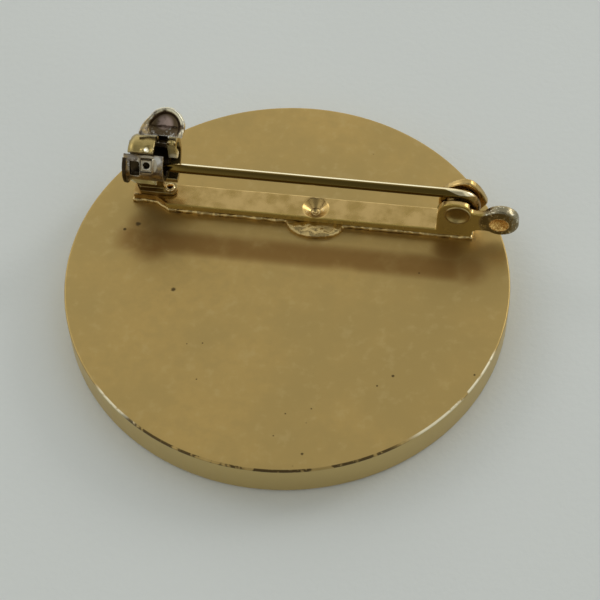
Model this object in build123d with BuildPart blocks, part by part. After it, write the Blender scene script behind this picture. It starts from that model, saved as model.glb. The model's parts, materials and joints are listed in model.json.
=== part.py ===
from build123d import *

import os
from math import cos, radians, sin

# A round enamelled badge with a brooch fitting on its back. Millimetres. The origin is the middle of
# the enamelled front face, +Z points out of the plain back, and +X runs along the brooch bar from the
# safety catch to the joint.

# Driving dimensions: the badge
badge_radius = 16.0
badge_thickness = 2.8
back_edge_radius = 0.12
front_edge_radius = 0.3

# the enamelled front: a border ring, six petals and the six fields between them
enamel_depth = 0.6
border_outer, border_inner = 15.0, 12.4
field_radius, hub_radius = 11.6, 2.7
petal_start, petal_end, petal_width = 3.0, 11.1, 4.4
line_width = 0.5
petal_count = 6

# the brooch bar, a strip of half-millimetre brass on a bed of soft solder
solder_thickness = 0.3
solder_proud = 0.1
sheet = 0.5
ear_sheet = 0.48
bar_near, bar_far = 4.82, 6.81
bar_left, bar_right = -12.2, 12.86
bar_tail_near = 5.5
bar_taper_start, bar_taper_end = -9.5, -10.5
dimple_x, dimple_radius, dimple_tip_radius, dimple_depth = 1.35, 1.0, 0.12, 0.6
lug_x, lug_half_width, lug_reach = 1.4, 2.1, 1.25

# the joint: two ears, a rivet with drilled ends and the eye of the pin stem
pivot_x, pivot_height = 11.72, 2.7
ear_left, ear_top, ear_top_x = 10.28, 3.85, 11.35
ear_shoulder_x, ear_shoulder = 12.55, 3.45
neck_x, neck_top, neck_bottom = 13.25, 2.95, 1.15
far_ear_top, far_ear_top_x, far_ear_right = 4.5, 12.35, 13.72
tab_x, tab_height, tab_radius, tab_thickness, tab_join = 14.84, 2.17, 1.3, 0.7, 125
tab_dish_x, tab_dish_height, tab_dish_radius, tab_dish_depth = 14.74, 1.98, 0.76, 0.3
rivet_radius, rivet_head_radius, rivet_head_thickness = 0.85, 1.0, 0.12
rivet_bore_radius, rivet_bore_depth, rivet_bore_taper = 0.66, 0.4, 20

# the pin stem
wire_radius = 0.36
eye_clearance = 0.03
stem_tip_x, stem_taper_x, stem_tip_radius = -10.1, -8.6, 0.06
eye_wrap = 250

# the safety catch: a rolled case on a foot, and the roller that turns in it
catch_y, catch_height = 5.97, 4.33
case_outer, case_inner = 1.9, 1.5
case_left, case_right = -12.1, -8.72
tab_slot_left, tab_slot_right = -10.2, -9.4
lip_top, lip_bottom, slot_back, slot_bottom = 113, 240, 15, 258
stem_clearance = 0.09
curl_radius, curl_height = 0.26, 4.55
foot_left, foot_right, foot_near, foot_far, foot_thickness = -11.95, -8.95, 5.6, 6.7, 0.35
foot_corner = 0.5
web_near, web_far, web_right = 6.0, 6.5, -9.96
case_rivet_x, case_rivet_y, case_rivet_radius = -9.5, 6.1, 0.24
case_rivet_head, case_rivet_head_thickness, case_rivet_bore = 0.38, 0.16, 0.16
roller_outer, roller_inner = 1.45, 1.05
roller_left, roller_right = -12.4, -9.5
roller_flange, roller_flange_thickness, flange_start, flange_end = 1.75, 0.25, 127, 300
roller_wall_end = 420
boss_left, boss_right, boss_start, boss_end, boss_rise = -11.08, -10.26, 125, 163, 0.12
boss_bore_radius = 0.25
window_left, window_right, window_start, window_end = -11.9, -11.2, 135, 185
thumb_angle, thumb_x, thumb_centre, thumb_radius, thumb_sheet = 42, -9.66, 2.4, 1.4, 0.36
thumb_base, thumb_dish_radius, thumb_neck_width = 2.03, 2.8, 0.66

# Worked out from them
back = badge_thickness
bar_underside = back + solder_thickness
bar_top = bar_underside + sheet
bar_middle = (bar_near + bar_far) / 2
pivot_z = back + pivot_height
eye_radius = rivet_radius + eye_clearance + wire_radius
stem_z = pivot_z + eye_radius
catch_z = back + catch_height
slot_near = bar_middle - wire_radius - stem_clearance * 2 / 3
slot_far = bar_middle + wire_radius + stem_clearance


def polar(centre, radius, angle):
    """The point at an angle, in degrees, on a circle about a centre."""
    return (centre[0] + radius * cos(radians(angle)), centre[1] + radius * sin(radians(angle)))


def ring_sector(centre, inner, outer, start, end, mode=Mode.ADD):
    """A face between two arcs about a centre, for a sketch."""
    with BuildLine() as outline:
        CenterArc(centre, outer, start, end - start)
        CenterArc(centre, inner, start, end - start)
        for angle in (start, end):
            Line(polar(centre, inner, angle), polar(centre, outer, angle))
    make_face(outline.edges(), mode=mode)


def petal(angle, grow=0.0, mode=Mode.ADD):
    """A pointed petal between two arcs, grown on every side by the width of a metal line."""
    root = polar((0, 0), petal_start - grow, angle)
    tip = polar((0, 0), petal_end + 2 * grow, angle)
    waist = polar((0, 0), (petal_start + petal_end + grow) / 2, angle)
    with BuildLine() as outline:
        for side in (90, -90):
            ThreePointArc(root, polar(waist, petal_width / 2 + grow, angle + side), tip)
    make_face(outline.edges(), mode=mode)


petal_angles = [90 + 360 / petal_count * number for number in range(petal_count)]

with BuildSketch(mode=Mode.PRIVATE) as border_cell:
    Circle(border_outer)
    Circle(border_inner, mode=Mode.SUBTRACT)

with BuildSketch(mode=Mode.PRIVATE) as petal_cells:
    for petal_angle in petal_angles:
        petal(petal_angle)

with BuildSketch(mode=Mode.PRIVATE) as field_cells:
    Circle(field_radius)
    Circle(hub_radius, mode=Mode.SUBTRACT)
    for petal_angle in petal_angles:
        petal(petal_angle, line_width, Mode.SUBTRACT)

# The die-struck badge, with a sunk cell for each enamel and raised metal lines between them
with BuildPart() as badge_base:
    Cylinder(badge_radius, badge_thickness, align=(Align.CENTER, Align.CENTER, Align.MIN))
    fillet(badge_base.edges().sort_by(Axis.Z)[-1], back_edge_radius)
    fillet(badge_base.edges().filter_by(GeomType.CIRCLE).sort_by(Axis.Z)[0], front_edge_radius)
    for cells in (border_cell, petal_cells, field_cells):
        extrude(cells.sketch, amount=enamel_depth, mode=Mode.SUBTRACT)

with BuildPart() as border_enamel:
    extrude(border_cell.sketch, amount=enamel_depth)


def enamels(cells):
    """One closed solid of enamel for each cell of a sketch."""
    made = []
    for cell in cells.faces():
        with BuildPart() as enamel:
            extrude(cell, amount=enamel_depth)
        made.append(enamel)
    return made


petal_enamels = enamels(petal_cells)
field_enamels = enamels(field_cells)


def bar_outline(grow=0.0):
    """The strip's outline: parallel sides, and a tail cut back on the near side under the catch."""
    with BuildLine() as outline:
        Polyline(
            (bar_right + grow, bar_near - grow),
            (bar_right + grow, bar_far + grow),
            (bar_left - grow, bar_far + grow),
            (bar_left - grow, bar_tail_near - grow),
            (bar_taper_end, bar_tail_near - grow),
            (bar_taper_start, bar_near - grow),
            close=True,
        )
    make_face(outline.edges())


def dimple(mode):
    """The cone of the dimple that is struck into the middle of the strip."""
    with Locations((dimple_x, bar_middle, bar_top - dimple_depth / 2)):
        Cone(dimple_tip_radius, dimple_radius, dimple_depth, mode=mode)


# The solder bed, squeezed out a little round the strip and into a lug below the dimple
with BuildPart() as solder_bed:
    with BuildSketch(Plane.XY.offset(back)):
        bar_outline(solder_proud)
        with Locations((lug_x, bar_near)):
            Ellipse(lug_half_width, lug_reach)
    extrude(amount=solder_thickness)
    chamfer(solder_bed.edges().group_by(Axis.Z)[-1], solder_proud - 0.01)
    dimple(Mode.SUBTRACT)


def near_ear_outline():
    """The near ear, in x and height above the back: a hump that runs through a neck into the round tab."""
    centre = (tab_x, back + tab_height)
    upper, lower = (polar(centre, tab_radius, side * tab_join) for side in (1, -1))
    upper_run, lower_run = (polar((0, 0), 1, side * (tab_join - 90)) for side in (1, -1))
    with BuildLine() as outline:
        left_side = Line((ear_left, bar_underside), (ear_left, back + 2.2))
        hump = Spline(
            left_side @ 1,
            (ear_top_x, back + ear_top),
            (ear_shoulder_x, back + ear_shoulder),
            (neck_x, back + neck_top),
            tangents=[(0, 1), (1, 0)],
        )
        Spline(hump @ 1, upper, tangents=[(1, 0), upper_run])
        CenterArc(centre, tab_radius, tab_join, -2 * tab_join)
        neck_corner = (neck_x + 0.15, back + neck_bottom)
        under_neck = Spline(lower, neck_corner, tangents=[(-lower_run[0], -lower_run[1]), (-1, 0)])
        corner = Spline(under_neck @ 1, (bar_right, back + 0.6), tangents=[(-1, 0), (0, -1)])
        right_side = Line(corner @ 1, (bar_right, bar_underside))
        Line(right_side @ 1, left_side @ 0)
    make_face(outline.edges())


def far_ear_outline():
    """The far ear, a taller hump that leans out past the end of the strip."""
    with BuildLine() as outline:
        left_side = Line((ear_left, bar_underside), (ear_left, back + 2.4))
        hump = Spline(
            left_side @ 1,
            (ear_left + 0.6, back + ear_top),
            (far_ear_top_x, back + far_ear_top),
            (far_ear_right, back + 2.7),
            (bar_right, back + 0.8),
            tangents=[(0, 1), (-0.5, -1)],
        )
        right_side = Line(hump @ 1, (bar_right, bar_underside))
        Line(right_side @ 1, left_side @ 0)
    make_face(outline.edges())


# The brooch bar: strip, dimple, two ears bent up at the joint end and a dished finger tab on one
with BuildPart() as brooch_bar:
    with BuildSketch(Plane.XY.offset(bar_underside)):
        bar_outline()
    extrude(amount=sheet)
    with BuildSketch(Plane.XZ.offset(-bar_near)):
        near_ear_outline()
    extrude(amount=-ear_sheet)
    with BuildSketch(Plane.XZ.offset(-bar_far)):
        far_ear_outline()
    extrude(amount=ear_sheet)
    with BuildSketch(Plane.XZ.offset(-bar_near)):
        with Locations((tab_x, back + tab_height)):
            Circle(tab_radius)
    extrude(amount=-tab_thickness)
    dish_place = (tab_dish_x, bar_near + tab_dish_depth / 2, back + tab_dish_height)
    with Locations(Location(dish_place, (90, 0, 0))):
        Cone(tab_dish_radius * 0.4, tab_dish_radius, tab_dish_depth, mode=Mode.SUBTRACT)
    dimple(Mode.SUBTRACT)
    with BuildSketch(Plane.XZ.offset(-bar_near)):
        with Locations((pivot_x, pivot_z)):
            Circle(rivet_radius)
    extrude(amount=bar_near - bar_far, mode=Mode.SUBTRACT)
    with Locations((case_rivet_x, case_rivet_y, bar_underside + sheet / 2)):
        Cylinder(case_rivet_radius, sheet, mode=Mode.SUBTRACT)

# The joint rivet: a pin through both ears with its drilled ends spread into flat heads
with BuildPart() as joint_rivet:
    with BuildSketch(Plane.XZ.offset(-bar_near)):
        with Locations((pivot_x, pivot_z)):
            Circle(rivet_radius)
    extrude(amount=bar_near - bar_far)
    for head_face, outwards in ((bar_near, 1), (bar_far, -1)):
        with BuildSketch(Plane.XZ.offset(-head_face)):
            with Locations((pivot_x, pivot_z)):
                Circle(rivet_head_radius)
        extrude(amount=outwards * rivet_head_thickness)
    for head_face, inwards in ((rivet_head_thickness - bar_near, -1), (-bar_far - rivet_head_thickness, 1)):
        with BuildSketch(Plane.XZ.offset(head_face)):
            with Locations((pivot_x, pivot_z)):
                Circle(rivet_bore_radius)
        extrude(amount=inwards * rivet_bore_depth, taper=rivet_bore_taper, mode=Mode.SUBTRACT)

# The pin stem: one wire, pointed at the catch end and wrapped into an eye round the rivet
with BuildPart() as pin_stem:
    with BuildLine() as stem_path:
        straight = Line((stem_taper_x, bar_middle, stem_z), (pivot_x, bar_middle, stem_z))
        with BuildLine(Plane.XZ.offset(-bar_middle), mode=Mode.PRIVATE) as eye_curve:
            CenterArc((pivot_x, pivot_z), eye_radius, 90, -eye_wrap)
        add(eye_curve.line)
    with BuildSketch(Plane.YZ.offset(stem_taper_x)):
        with Locations((bar_middle, stem_z)):
            Circle(wire_radius)
    sweep(path=stem_path.line)
    with BuildSketch(Plane.YZ.offset(stem_taper_x)):
        with Locations((bar_middle, stem_z)):
            Circle(wire_radius)
    with BuildSketch(Plane.YZ.offset(stem_tip_x)):
        with Locations((bar_middle, stem_z)):
            Circle(stem_tip_radius)
    loft()

case_axis = (catch_y, catch_z)
curl_y = slot_far + curl_radius


def case_length(start, end, left, right):
    """A length of the rolled case, between two angles."""
    with BuildSketch(Plane.YZ.offset(left)) as section:
        ring_sector(case_axis, case_inner, case_outer, start, end)
    extrude(section.sketch, amount=right - left)


# The catch case: rolled from sheet, open at the near side, slotted for the thumb tab, on a riveted foot
with BuildPart() as catch_case:
    case_length(lip_bottom, 360 + lip_top, case_left, tab_slot_left)
    case_length(slot_bottom, 360 + slot_back, tab_slot_left, tab_slot_right)
    case_length(slot_bottom, 360 + 76, tab_slot_right, case_right)
    with BuildSketch(Plane.YZ.offset(tab_slot_right)):
        with BuildLine() as curl:
            Polyline(
                polar(case_axis, case_outer, 82),
                polar(case_axis, case_outer, 76),
                polar(case_axis, case_inner, 70),
                (curl_y + curl_radius, back + curl_height),
                (curl_y - curl_radius, back + curl_height),
                (curl_y - curl_radius, catch_z + case_inner),
                close=True,
            )
        make_face(curl.edges())
        with Locations((curl_y, back + curl_height)):
            Circle(curl_radius)
    extrude(amount=case_right - tab_slot_right)
    with BuildSketch(Plane.XY.offset(bar_top)) as foot:
        with Locations(((foot_left + foot_right) / 2, (foot_near + foot_far) / 2)):
            Rectangle(foot_right - foot_left, foot_far - foot_near)
        fillet(foot.vertices(), foot_corner)
    extrude(amount=foot_thickness)
    with BuildSketch(Plane.XY.offset(bar_top)):
        with Locations(((foot_left + web_right) / 2, (web_near + web_far) / 2)):
            Rectangle(web_right - foot_left, web_far - web_near)
    extrude(amount=catch_z - case_inner - 0.15 - bar_top)
    with Locations((case_rivet_x, case_rivet_y, bar_top + foot_thickness / 2)):
        Cylinder(case_rivet_radius, foot_thickness, mode=Mode.SUBTRACT)

# The eyelet that clinches the case's foot to the strip
with BuildPart() as case_rivet:
    with BuildSketch(Plane.XY.offset(bar_underside)):
        with Locations((case_rivet_x, case_rivet_y)):
            Circle(case_rivet_radius)
    extrude(amount=sheet + foot_thickness)
    with BuildSketch(Plane.XY.offset(bar_top + foot_thickness)):
        with Locations((case_rivet_x, case_rivet_y)):
            Circle(case_rivet_head)
    extrude(amount=case_rivet_head_thickness)
    with Locations((case_rivet_x, case_rivet_y, bar_top + foot_thickness)):
        Cylinder(case_rivet_bore, sheet, mode=Mode.SUBTRACT)

thumb_plane = Plane(
    origin=(0, catch_y, catch_z),
    x_dir=(1, 0, 0),
    z_dir=(0, -sin(radians(thumb_angle)), cos(radians(thumb_angle))),
)

# The dished thumb tab, a D-shaped piece cut from a spherical shell
shell_centre = thumb_plane.from_local_coords(Vector(thumb_x, thumb_centre + 0.25, thumb_dish_radius))
dished_shell = Pos(shell_centre) * (
    Sphere(thumb_dish_radius + thumb_sheet / 2) - Sphere(thumb_dish_radius - thumb_sheet / 2)
)
with BuildPart() as thumb_tab:
    with BuildSketch(thumb_plane.offset(-1)):
        with Locations((thumb_x, thumb_centre)):
            Circle(thumb_radius)
        with Locations((thumb_x, thumb_base)):
            Rectangle(2 * thumb_radius, 2 * thumb_radius, align=(Align.CENTER, Align.MAX), mode=Mode.SUBTRACT)
    extrude(amount=2)
    add(dished_shell, mode=Mode.INTERSECT)

# The roller: a slotted sleeve with a pierced stop boss, a window and the thumb tab
with BuildPart() as catch_roller:
    with BuildSketch(Plane.YZ.offset(roller_left)):
        ring_sector(case_axis, roller_inner, roller_outer, lip_top, roller_wall_end)
    extrude(amount=roller_right - roller_left)
    with BuildSketch(Plane.YZ.offset(roller_left)):
        ring_sector(case_axis, roller_inner, roller_flange, flange_start, flange_end)
    extrude(amount=roller_flange_thickness)
    with BuildSketch(Plane.YZ.offset(boss_left)):
        ring_sector(case_axis, roller_outer - 0.1, roller_outer + boss_rise, boss_start, boss_end)
    extrude(amount=boss_right - boss_left)
    with BuildSketch(Plane.YZ.offset(window_left)):
        ring_sector(case_axis, roller_inner - 0.1, roller_outer + 0.1, window_start, window_end)
    extrude(amount=window_right - window_left, mode=Mode.SUBTRACT)
    boss_bore = Plane(
        origin=((boss_left + boss_right) / 2, *case_axis),
        x_dir=(1, 0, 0),
        z_dir=(0, *polar((0, 0), 1, (boss_start + boss_end) / 2)),
    )
    with BuildSketch(boss_bore):
        Circle(boss_bore_radius)
    extrude(amount=case_outer, mode=Mode.SUBTRACT)
    with BuildSketch(Plane.YZ.offset(roller_left)):
        with BuildLine() as way_out:
            Polyline(
                (slot_near, catch_z + roller_inner / 3),
                (slot_far, catch_z + roller_inner / 3),
                (slot_far, catch_z + case_outer),
                (slot_near, catch_z + case_outer),
                close=True,
            )
        make_face(way_out.edges())
    extrude(amount=roller_right - roller_left, mode=Mode.SUBTRACT)
    with BuildSketch(thumb_plane.offset(-thumb_sheet / 2)):
        with Locations(((tab_slot_left + tab_slot_right) / 2, (roller_outer + thumb_base) / 2)):
            Rectangle(thumb_neck_width, thumb_base - roller_outer + 0.36)
    extrude(amount=thumb_sheet)
    add(thumb_tab.part)

nodes = {
    "badge_base": badge_base,
    "border_enamel": border_enamel,
    "solder_bed": solder_bed,
    "brooch_bar": brooch_bar,
    "joint_rivet": joint_rivet,
    "pin_stem": pin_stem,
    "catch_case": catch_case,
    "case_rivet": case_rivet,
    "catch_roller": catch_roller,
}
for number in range(petal_count):
    nodes[f"petal_enamel_{number + 1}"] = petal_enamels[number]
    nodes[f"field_enamel_{number + 1}"] = field_enamels[number]

os.makedirs("parts", exist_ok=True)
for label, node in nodes.items():
    node.part.label = label
    export_step(node.part, f"parts/{label}.step")
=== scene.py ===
"""A gilt enamel badge lying face down on a table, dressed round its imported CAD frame.

The badge is a struck gilt disc with enamel on its front. A brooch fitting is soldered to its back: a
strip with two ears, a hinged pin stem and a roller catch. Lengths are in metres, written as
millimetres times MM, and every place is worked out from the CAD nodes.
"""

import json
import logging
from collections.abc import Callable, Iterator
from contextlib import contextmanager
from dataclasses import dataclass
from enum import Enum
from math import cos, pi, radians, sin

import bmesh
import bpy
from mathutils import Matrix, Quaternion, Vector


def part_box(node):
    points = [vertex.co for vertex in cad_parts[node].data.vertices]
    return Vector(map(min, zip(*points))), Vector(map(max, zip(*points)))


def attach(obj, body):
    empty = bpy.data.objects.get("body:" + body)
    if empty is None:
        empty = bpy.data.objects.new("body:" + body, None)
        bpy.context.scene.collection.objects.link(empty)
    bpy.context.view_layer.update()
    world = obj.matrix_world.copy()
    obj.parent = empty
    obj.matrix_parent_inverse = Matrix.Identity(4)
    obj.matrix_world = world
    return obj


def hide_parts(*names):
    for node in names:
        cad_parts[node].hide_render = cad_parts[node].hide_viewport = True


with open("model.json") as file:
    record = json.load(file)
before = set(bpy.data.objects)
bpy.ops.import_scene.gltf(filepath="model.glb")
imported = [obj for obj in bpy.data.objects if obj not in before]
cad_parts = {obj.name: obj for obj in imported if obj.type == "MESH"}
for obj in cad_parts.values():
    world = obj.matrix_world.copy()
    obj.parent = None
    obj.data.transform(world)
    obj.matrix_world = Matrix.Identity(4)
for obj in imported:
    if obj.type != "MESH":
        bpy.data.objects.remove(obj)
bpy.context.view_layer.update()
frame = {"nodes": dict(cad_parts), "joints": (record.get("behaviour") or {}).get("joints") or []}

MM = 0.001
CLOSE = 0.001 * MM
LOG = logging.getLogger("badge")
Triple = tuple[float, float, float]
Colour = Triple
Test = Callable[[Vector, Vector], bool]


def pivot_of(joint: str) -> Vector:
    """The place of a joint's axis."""
    return Vector(next(entry["pos_m"] for entry in frame["joints"] if entry["name"] == joint))


class Body(Enum):
    """The CAD bodies that pieces ride on."""

    BADGE = "badge"
    STEM = "stem"
    ROLLER = "roller"


class Element(Enum):
    """What a selection picks."""

    VERTEX = "VERT"
    EDGE = "EDGE"
    FACE = "FACE"


# ---------------------------------------------------------------------------------------------
# Shader maths
# ---------------------------------------------------------------------------------------------


@dataclass(frozen=True)
class Socket:
    """An output socket that can be used in Python arithmetic."""

    graph: "Graph"
    link: bpy.types.NodeSocket

    def math(self, operation: str, first: "Socket | float", second: "Socket | float") -> "Socket":
        """A Math node on two values."""
        return self.graph.node("Math", {"operation": operation}, {0: first, 1: second})

    def __add__(self, other: "Socket | float") -> "Socket":
        """self + other."""
        return self.math("ADD", self, other)

    def __sub__(self, other: "Socket | float") -> "Socket":
        """self - other."""
        return self.math("SUBTRACT", self, other)

    def __rsub__(self, other: float) -> "Socket":
        """other - self."""
        return self.math("SUBTRACT", other, self)

    def __mul__(self, other: "Socket | float") -> "Socket":
        """self * other."""
        return self.math("MULTIPLY", self, other)

    __radd__ = __add__
    __rmul__ = __mul__

    def spread(self, low: float, high: float, bottom: float = 0.0, top: float = 1.0) -> "Socket":
        """A smooth step from bottom at low to top at high.

        Args:
            low: The value at which the step starts.
            high: The value at which it ends.
            bottom: What it gives before the step.
            top: What it gives after it.

        Returns:
            The stepped value.
        """
        limits = {"From Min": low, "From Max": high, "To Min": bottom, "To Max": top}
        return self.graph.node("MapRange", {"interpolation_type": "SMOOTHSTEP"}, {"Value": self} | limits)


class Graph:
    """The node tree of one material or world."""

    def __init__(self, owner: bpy.types.Material | bpy.types.World) -> None:
        """Empties the owner's tree."""
        owner.use_nodes = True
        self.tree = owner.node_tree
        self.tree.nodes.clear()

    def node(self, kind: str, settings: dict, sockets: dict, output: int | str = 0) -> Socket:
        """Makes one node.

        Args:
            kind: The node's type, without its ShaderNode prefix.
            settings: Its properties, which are set first.
            sockets: The values or links of its inputs, by name or number.
            output: Which of its outputs is used.

        Returns:
            That output.
        """
        made = self.tree.nodes.new("ShaderNode" + kind)
        for name, value in settings.items():
            setattr(made, name, value)
        for name, value in sockets.items():
            if isinstance(value, Socket):
                self.tree.links.new(value.link, made.inputs[name])
            else:
                made.inputs[name].default_value = value
        return Socket(self, made.outputs[output] if made.outputs else None)

    def place(self) -> Socket:
        """The place on the piece, in metres."""
        return self.node("TexCoord", {}, {}, "Object")

    def axis(self, which: str) -> Socket:
        """One coordinate of the place on the piece."""
        return self.node("SeparateXYZ", {}, {0: self.place()}, which)

    def noise(
        self, size: float, detail: float = 3.0, stretch: Triple = (1, 1, 1), shift: float = 0.0
    ) -> Socket:
        """Smooth noise between 0 and 1.

        Args:
            size: The length of one blotch.
            detail: How many finer octaves it has.
            stretch: How much finer it runs along each axis.
            shift: Moves the pattern, so that two of them differ.

        Returns:
            The noise.
        """
        moved = self.node("Mapping", {}, {"Vector": self.place(), "Location": (shift,) * 3, "Scale": stretch})
        return self.node("TexNoise", {}, {"Vector": moved, "Scale": 1 / size, "Detail": detail})

    def cells(self, size: float) -> Socket:
        """The distance to the nearest of scattered points, in units of size."""
        return self.node("TexVoronoi", {}, {"Vector": self.place(), "Scale": 1 / size})

    def distance(self, point: Vector | tuple) -> Socket:
        """The distance from a point of the piece's frame."""
        settings = {"operation": "DISTANCE"}
        return self.node("VectorMath", settings, {0: self.place(), 1: tuple(point)}, "Value")

    def off_line(self, point: Vector, along: Vector) -> Socket:
        """The distance from a line that passes through a point along X or along Z."""
        keep = Vector((1, 1, 1)) - along
        level = self.node("VectorMath", {"operation": "MULTIPLY"}, {0: self.place(), 1: tuple(keep)})
        settings = {"operation": "DISTANCE"}
        return self.node("VectorMath", settings, {0: level, 1: tuple(keep * point)}, "Value")

    @staticmethod
    def within(value: Socket, low: float, high: float, soft: float) -> Socket:
        """One where a value lies between two limits, fading to zero over a soft edge."""
        return value.spread(low - soft, low + soft) * value.spread(high + soft, high - soft)

    def mix(self, share: Socket | float, first: Socket | Colour, second: Socket | Colour) -> Socket:
        """A colour between two."""
        ends = [value if isinstance(value, Socket) else (*value, 1.0) for value in (first, second)]
        return self.node("Mix", {"data_type": "RGBA"}, {0: share, 6: ends[0], 7: ends[1]}, 2)

    def bump(self, height: Socket, depth: float, below: Socket | None = None) -> Socket:
        """A surface normal from a height between 0 and 1 that stands for a depth in metres."""
        sockets = {"Height": height, "Distance": depth, "Strength": 1.0}
        return self.node("Bump", {}, sockets | ({"Normal": below} if below else {}))


def surface(name: str, shade: Callable[[Graph], dict]) -> bpy.types.Material:
    """Makes a material with one Principled shader.

    Args:
        name: The material's name.
        shade: Gives the shader's sockets, from a graph.

    Returns:
        The material.
    """
    material = bpy.data.materials.new(name)
    graph = Graph(material)
    shader = graph.node("BsdfPrincipled", {}, shade(graph))
    graph.node("OutputMaterial", {}, {"Surface": shader})
    return material


# ---------------------------------------------------------------------------------------------
# Finishes
# ---------------------------------------------------------------------------------------------


@dataclass(frozen=True)
class Gilding:
    """Gold plate over brass, with mottled tarnishing, soiling and painted shade in the hollows, and bright
    worn edges.
    """

    name: str
    gold: Colour = (0.60, 0.41, 0.16)
    tarnish_and_shade: Colour = (0.42, 0.28, 0.09)
    grime_and_shade: Colour = (0.10, 0.06, 0.02)
    worn: Colour = (0.88, 0.78, 0.55)
    blotch: float = 1.2 * MM
    roughness: float = 0.2
    grain: float = 0.12 * MM
    grain_depth: float = 0.003 * MM
    edge: float = 0.5
    hollow_grime_and_shade: float = 0.7

    def shade(self, graph: Graph) -> dict:
        """The shader's sockets."""
        mottle = graph.noise(self.blotch, 4.0).spread(0.35, 0.7)
        colour = graph.mix(mottle, self.gold, self.tarnish_and_shade)
        bend = graph.node("NewGeometry", {}, {}, "Pointiness")
        patch = graph.noise(0.4 * self.blotch, 3.0, shift=3.0)
        # Darker in the hollows: soiling and painted shade. Bright worn ridges.
        hollow = (bend + patch * 0.06).spread(0.5, 0.43) * self.hollow_grime_and_shade
        ridge = (bend + patch * 0.04).spread(0.54, 0.62) * self.edge
        colour = graph.mix(hollow, colour, self.grime_and_shade)
        colour = graph.mix(ridge, colour, self.worn)
        rough = mottle * 0.1 + hollow * 0.3 + self.roughness - ridge * 0.06
        normal = graph.bump(graph.noise(self.grain, 2.0), self.grain_depth)
        return {"Base Color": colour, "Metallic": 1.0, "Roughness": rough, "Normal": normal}

    def material(self) -> bpy.types.Material:
        """The finish as a material."""
        return surface(self.name, self.shade)


@dataclass(frozen=True)
class CaseGilding(Gilding):
    """The case's gold plate: painted black shade inside its left half, a film above painted shade inside its
    right.
    """

    axis: Vector = Vector()
    inner: float = 1.55 * MM
    shade_until: float = -10.3 * MM
    interior_shade: Colour = (0.03, 0.02, 0.008)
    wear_and_highlight: Colour = (0.92, 0.84, 0.62)
    film: Colour = (0.50, 0.40, 0.17)
    shade_brown: Colour = (0.17, 0.095, 0.03)
    rubs_and_highlights: tuple[tuple[Vector, float], ...] = ()

    def shade(self, graph: Graph) -> dict:
        """The shader's sockets."""
        sockets = super().shade(graph)
        gap = graph.off_line(self.axis, Vector((1, 0, 0)))
        # Painted shade, near black, inside the left half of the tube; inside the right half, painted shade
        # below a film.
        left = graph.axis("X").spread(self.shade_until, self.shade_until - 0.1 * MM)
        inside = gap.spread(self.inner + 0.04 * MM, self.inner - 0.04 * MM)
        colour = graph.mix(inside * left * 0.95, sockets["Base Color"], self.interior_shade)
        shadow = graph.axis("Z").spread(self.axis.z + 0.15 * MM, self.axis.z - 0.1 * MM)
        colour = graph.mix(inside * (1 - left) * shadow * 0.75, colour, self.interior_shade)
        film = inside * (1 - left) * (1 - shadow)
        colour = graph.mix(film, colour, self.film)
        # Painted shade low down on the case, under the tube, broken up by noise.
        low = graph.axis("Z").spread(self.axis.z - 1.6 * MM, self.axis.z - 2.3 * MM)
        low = low * graph.noise(0.6 * MM, 3.0, shift=4.0).spread(0.7, 0.35) * 0.8
        colour = graph.mix(low, colour, self.shade_brown)
        # Painted highlights, partly wear, on the listed patches.
        patch = graph.noise(0.3 * MM, 3.0, shift=9.0).spread(0.2, 0.4)
        for place, reach in self.rubs_and_highlights:
            colour = graph.mix(graph.distance(place).spread(reach, 0.6 * reach) * patch, colour, self.wear_and_highlight)
        return sockets | {"Base Color": colour, "Metallic": film * -0.5 + 1.0}


@dataclass(frozen=True)
class BarGilding(Gilding):
    """Bar gilt with painted light on its front faces, painted shade at its left end, worn to nickel round a
    sandy finger dish.
    """

    tab: Vector = Vector()
    dish: Vector = Vector()
    dish_radius: float = 0.0
    dull: Colour = (0.46, 0.315, 0.075)
    nickel: Colour = (0.27, 0.23, 0.145)
    wear_and_highlight: Colour = (0.80, 0.75, 0.60)
    shade_brown: Colour = (0.30, 0.17, 0.05)
    shade_from: float = -7.6 * MM
    sand: Colour = (0.92, 0.60, 0.20)
    sand_dark: Colour = (0.55, 0.27, 0.05)

    def shade(self, graph: Graph) -> dict:
        """The shader's sockets."""
        sockets = super().shade(graph)
        wear = graph.noise(0.5 * MM, 4.0, shift=5.0)
        # Painted light on the front faces: a duller, less metallic copy of the gold.
        face = graph.axis("Y").spread(self.tab.y + 0.2 * MM, self.tab.y + 0.08 * MM)
        # Painted shade over the bar's left end, beside the catch, broken up by noise.
        shaded_end = graph.axis("X").spread(self.shade_from, self.shade_from - 2.6 * MM)
        shaded_end = shaded_end * graph.noise(0.9 * MM, 3.0, shift=4.0).spread(0.65, 0.35) * 0.8
        colour = graph.mix(shaded_end, sockets["Base Color"], self.shade_brown)
        colour = graph.mix(face, colour, self.dull)
        rim = graph.distance(self.tab).spread(1.65 * MM, 1.35 * MM) * wear.spread(0.25, 0.45)
        scuffed = graph.noise(0.22 * MM, 3.0, stretch=(1.0, 1.0, 0.5), shift=7.0)
        colour = graph.mix(rim, colour, graph.mix(scuffed.spread(0.58, 0.7), self.nickel, self.wear_and_highlight))
        inside = graph.distance(self.dish).spread(1.08 * self.dish_radius, 0.98 * self.dish_radius)
        grains = graph.noise(0.14 * MM, 2.0, shift=6.0)
        sandy = graph.mix(grains.spread(0.4, 0.65), self.sand, self.sand_dark)
        colour = graph.mix(inside, colour, sandy)
        dents = graph.bump(scuffed * rim * (1 - inside), 0.03 * MM, sockets["Normal"])
        pebbles = graph.bump(grains * inside, 0.07 * MM, dents)
        metal = face * (1 - rim) * -0.4 + 1.0 - inside * 0.2
        return sockets | {"Base Color": colour, "Normal": pebbles, "Metallic": metal}


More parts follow.
